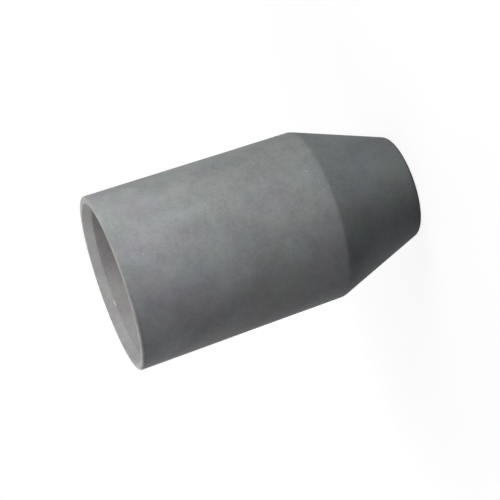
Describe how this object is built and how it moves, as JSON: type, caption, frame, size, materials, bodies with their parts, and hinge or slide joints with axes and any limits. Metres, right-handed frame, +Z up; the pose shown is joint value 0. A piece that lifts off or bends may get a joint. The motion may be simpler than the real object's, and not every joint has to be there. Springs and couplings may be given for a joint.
{
  "type": "ceramic shield cup",
  "caption": "Grey ceramic shield cup for a plasma torch: a slightly tapered cylinder with a conical nose, an orifice and a stepped, threaded bore.",
  "frame": {"origin": "centre of the flat nose face, at the bottom of the cup's box", "axes": "+Z up the cup's axis from the nose face to the open mouth; +X and +Y are any two directions square to it, since every surface turns about the axis"},
  "size_m": [0.03, 0.03, 0.0524],
  "materials": {
    "ceramic": "matte, unglazed, faintly mottled mid grey"
  },
  "bodies": {
    "root": {"shield_cup": "ceramic"}
  },
  "joints": []
}
